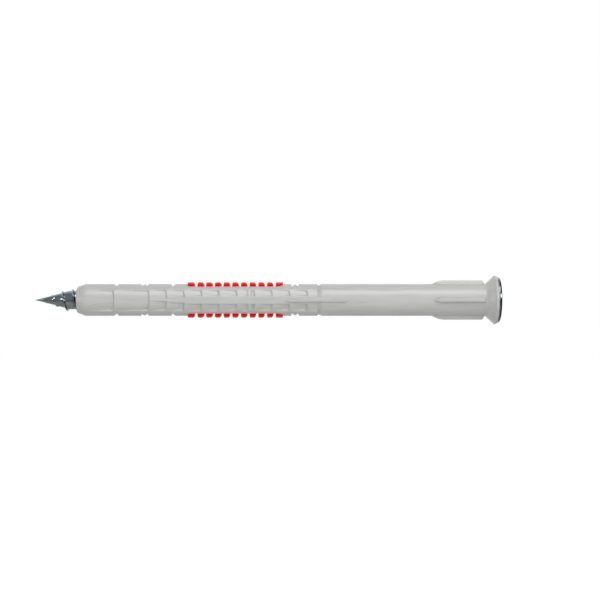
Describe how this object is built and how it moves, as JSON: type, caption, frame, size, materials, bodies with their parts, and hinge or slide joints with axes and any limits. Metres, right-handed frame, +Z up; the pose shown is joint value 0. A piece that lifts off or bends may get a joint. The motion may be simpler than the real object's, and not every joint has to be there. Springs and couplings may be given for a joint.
{
  "type": "frame fixing",
  "caption": "Long nylon frame fixing with a countersunk collar, sunken locking cells, red gripping strips and a countersunk steel screw driven through it.",
  "frame": {"origin": "on the axis, at the outer face of the sleeve's collar", "axes": "+X along the axis towards the screw's head, +Z up through the upper gripping strip"},
  "size_m": [0.133, 0.014, 0.014],
  "materials": {
    "grey_nylon": "moulded nylon, satin",
    "red_nylon": "moulded second shot, satin",
    "zinc_plated_steel": "zinc plated, blue-grey"
  },
  "bodies": {
    "sleeve": {"sleeve": "grey_nylon", "upper_grip_insert": "red_nylon", "lower_grip_insert": "red_nylon"},
    "screw": {"screw": "zinc_plated_steel"}
  },
  "joints": [
    {"name": "screw_drive", "type": "slide", "parent": "sleeve", "child": "screw", "axis": [1, 0, 0], "range_m": [0, 0.082]}
  ]
}
